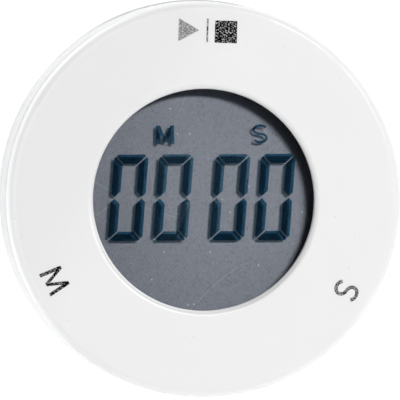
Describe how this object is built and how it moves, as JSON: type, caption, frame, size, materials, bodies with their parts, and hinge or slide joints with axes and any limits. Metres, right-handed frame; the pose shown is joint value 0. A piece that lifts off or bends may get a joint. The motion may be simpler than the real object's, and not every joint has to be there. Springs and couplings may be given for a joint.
{
  "type": "digital kitchen timer",
  "caption": "Round white digital kitchen timer with a recessed LCD in the middle of a broad rocking press ring and magnets in its flat back.",
  "frame": {"origin": "middle of the resting face, on the ground plane", "axes": "+Z is the way the display faces; +Y is the top of the display; +X is its right"},
  "size_m": [0.07, 0.07, 0.02],
  "materials": {
    "shell_white": "white ABS, fine satin texture",
    "ring_white": "white ABS, satin",
    "chassis_white": "white ABS, satin",
    "grip_rubber": "light grey soft rubber, matt",
    "magnet_nickel": "nickel-plated, fine scratches",
    "lens_clear": "clear acrylic, gloss",
    "lcd_film": "thin clear film with a faint blue-grey tint",
    "lcd_glass": "clear glass",
    "lcd_ink": "dark blue-black liquid-crystal segments",
    "lcd_rear_film": "grey film",
    "lcd_reflector": "blue-grey metallised film with fine sparkle",
    "zebra_rubber": "striped carbon rubber",
    "foam_black": "open-cell foam",
    "board_green": "green solder mask",
    "resin_black": "black potting resin",
    "can_steel": "drawn steel can",
    "chip_tan": "ceramic chips with tinned ends",
    "switch_black": "black nylon",
    "cover_steel": "pressed tinplate",
    "plunger_black": "black nylon",
    "buzzer_brass": "rolled brass",
    "buzzer_ceramic": "silvered ceramic",
    "spring_steel": "bright spring wire",
    "mesh_black": "woven acoustic mesh",
    "cell_steel": "stainless can, unmarked",
    "contact_nickel": "nickel-plated spring strip",
    "seal_rubber": "black nitrile rubber",
    "gasket_rubber": "soft grey silicone",
    "screw_steel": "zinc-plated steel",
    "print_black": "dark pad-printed ink, slightly mottled"
  },
  "bodies": {
    "housing": {"rear_housing": "shell_white", "front_chassis": "chassis_white", "grip_ring": "grip_rubber", "back_magnets": "magnet_nickel", "lens": "lens_clear", "lcd_front_polariser": "lcd_film", "lcd_front_glass": "lcd_glass", "lcd_segments": "lcd_ink", "lcd_rear_glass": "lcd_glass", "lcd_rear_polariser": "lcd_rear_film", "lcd_reflector": "lcd_reflector", "zebra_strip": "zebra_rubber", "lcd_foam_pad": "foam_black", "pcb": "board_green", "controller_blob": "resin_black", "crystal": "can_steel", "smd_parts": "chip_tan", "start_switch_base": "switch_black", "minutes_switch_base": "switch_black", "seconds_switch_base": "switch_black", "switch_covers": "cover_steel", "buzzer_disc": "buzzer_brass", "buzzer_ceramic": "buzzer_ceramic", "buzzer_springs": "spring_steel", "buzzer_mesh": "mesh_black", "coin_cell": "cell_steel", "cell_contact_plus": "contact_nickel", "cell_contact_minus": "contact_nickel", "case_screws": "screw_steel", "pcb_screws": "screw_steel"},
    "battery_cover": {"battery_cover": "shell_white", "cover_o_ring": "seal_rubber"},
    "start_plunger": {"start_plunger": "plunger_black"},
    "minutes_plunger": {"minutes_plunger": "plunger_black"},
    "seconds_plunger": {"seconds_plunger": "plunger_black"},
    "splash_gasket": {"splash_gasket": "gasket_rubber"},
    "wave_spring": {"wave_spring": "spring_steel"},
    "press_ring": {"press_ring": "ring_white", "start_stop_mark": "print_black", "minutes_mark": "print_black", "seconds_mark": "print_black"}
  },
  "joints": [
    {"name": "press_start_stop", "type": "hinge", "parent": "housing", "child": "splash_gasket", "pos_m": [0, -0.0145, 0.0169], "axis": [-1, 0, 0], "range_deg": [0, 0.33], "stiffness_Nm_per_rad": 16, "springref_deg": -0.17, "deforming": ["splash_gasket"]},
    {"name": "press_minutes", "type": "hinge", "parent": "splash_gasket", "child": "wave_spring", "pos_m": [0.01256, 0.00725, 0.0169], "axis": [0.5, -0.866, 0], "range_deg": [0, 0.33], "stiffness_Nm_per_rad": 16, "springref_deg": -0.17, "deforming": ["wave_spring"]},
    {"name": "press_seconds", "type": "hinge", "parent": "wave_spring", "child": "press_ring", "pos_m": [-0.01256, 0.00725, 0.0169], "axis": [0.5, 0.866, 0], "range_deg": [0, 0.33], "stiffness_Nm_per_rad": 16, "springref_deg": -0.17},
    {"name": "start_click", "type": "slide", "parent": "housing", "child": "start_plunger", "axis": [0, 0, -1], "range_m": [0, 0.00026]},
    {"name": "minutes_click", "type": "slide", "parent": "housing", "child": "minutes_plunger", "axis": [0, 0, -1], "range_m": [0, 0.00026]},
    {"name": "seconds_click", "type": "slide", "parent": "housing", "child": "seconds_plunger", "axis": [0, 0, -1], "range_m": [0, 0.00026]},
    {"name": "cover_turn", "type": "hinge", "parent": "housing", "child": "battery_cover", "pos_m": [0, 0, 0.0012], "axis": [0, 0, -1], "range_deg": [0, 30]}
  ],
  "couplings": [
    {"joint": "start_click", "follows": "press_start_stop", "m_per_rad": 0.0435},
    {"joint": "minutes_click", "follows": "press_minutes", "m_per_rad": 0.0435},
    {"joint": "seconds_click", "follows": "press_seconds", "m_per_rad": 0.0435}
  ]
}
